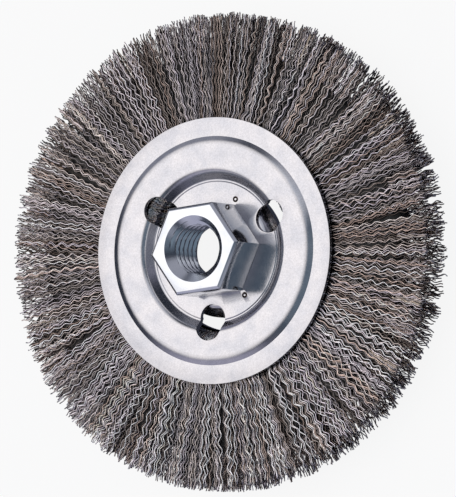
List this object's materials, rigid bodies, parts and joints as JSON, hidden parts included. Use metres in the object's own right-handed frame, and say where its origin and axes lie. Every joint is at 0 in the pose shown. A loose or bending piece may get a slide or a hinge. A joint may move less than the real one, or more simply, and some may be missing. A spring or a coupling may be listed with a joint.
{
  "type": "wire wheel brush",
  "caption": "Crimped steel wire wheel brush with stamped steel covers and a hexagonal hub nut that screws onto the M14 spindle of an angle grinder.",
  "frame": {"origin": "bottom centre of the wheel: on its axis, in the plane of the rear cover's raised ring that it rests on", "axes": "+Z along the wheel's axis towards the hub nut; -Y towards the slot that is lowest in the picture; the plan is round"},
  "size_m": [0.115, 0.115, 0.0248],
  "materials": {
    "plated_sheet": "satin",
    "plated_nut": "satin",
    "bare_steel": "satin",
    "crimped_wire": "satin"
  },
  "bodies": {
    "root": {"front_cover": "plated_sheet", "rear_cover": "plated_sheet", "hub_nut": "plated_nut", "core_hoop": "bare_steel", "wire_tufts": "crimped_wire"}
  },
  "joints": []
}
